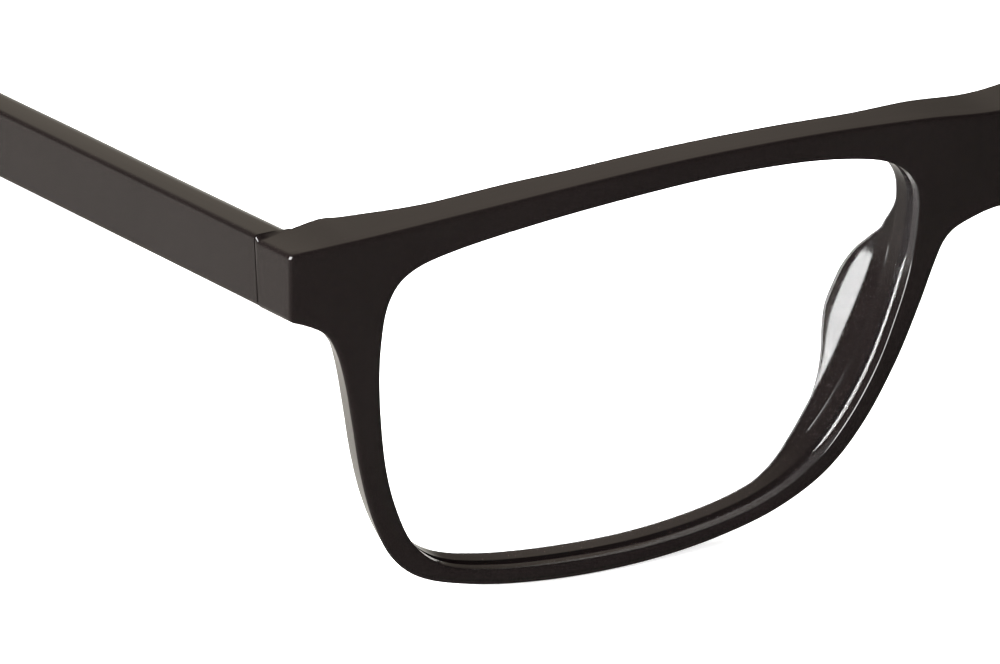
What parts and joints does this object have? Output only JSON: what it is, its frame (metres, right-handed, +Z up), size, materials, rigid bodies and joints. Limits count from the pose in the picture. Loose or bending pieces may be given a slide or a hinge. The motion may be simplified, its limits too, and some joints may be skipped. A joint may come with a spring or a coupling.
{
  "type": "eyeglasses",
  "caption": "Full-rim rectangular acetate eyeglasses with a wrapped front, clear lenses, glued nose pads and temples that fold on barrel hinges.",
  "frame": {"origin": "middle of the object's box, on the surface that the rims and the temple tips stand on", "axes": "+X towards the wearer's left, +Y from the front back along the temples, +Z up"},
  "size_m": [0.1364, 0.1452, 0.0372],
  "materials": {
    "front_acetate": "tumble-polished black cellulose acetate, high gloss",
    "temple_acetate": "tumble-polished black cellulose acetate, high gloss",
    "pad_acetate": "polished black cellulose acetate, glued on",
    "lens_clear": "clear demo lens, polished",
    "hinge_metal": "nickel-plated, satin",
    "screw_steel": "machined, bright",
    "core_wire_metal": "drawn wire"
  },
  "bodies": {
    "front": {"front_frame": "front_acetate", "right_lens": "lens_clear", "left_lens": "lens_clear", "right_nose_pad": "pad_acetate", "left_nose_pad": "pad_acetate", "right_front_hinge": "hinge_metal", "left_front_hinge": "hinge_metal", "right_hinge_screw": "screw_steel", "left_hinge_screw": "screw_steel"},
    "left_temple_arm": {"left_temple": "temple_acetate", "left_temple_hinge": "hinge_metal", "left_core_wire": "core_wire_metal"},
    "right_temple_arm": {"right_temple": "temple_acetate", "right_temple_hinge": "hinge_metal", "right_core_wire": "core_wire_metal"}
  },
  "joints": [
    {"name": "left_temple_fold", "type": "hinge", "parent": "front", "child": "left_temple_arm", "pos_m": [0.06265, -0.06043, 0.03084], "axis": [0, 0.0349, 0.9994], "range_deg": [0, 90]},
    {"name": "right_temple_fold", "type": "hinge", "parent": "front", "child": "right_temple_arm", "pos_m": [-0.06265, -0.06043, 0.03084], "axis": [0, -0.0349, -0.9994], "range_deg": [0, 79]}
  ]
}
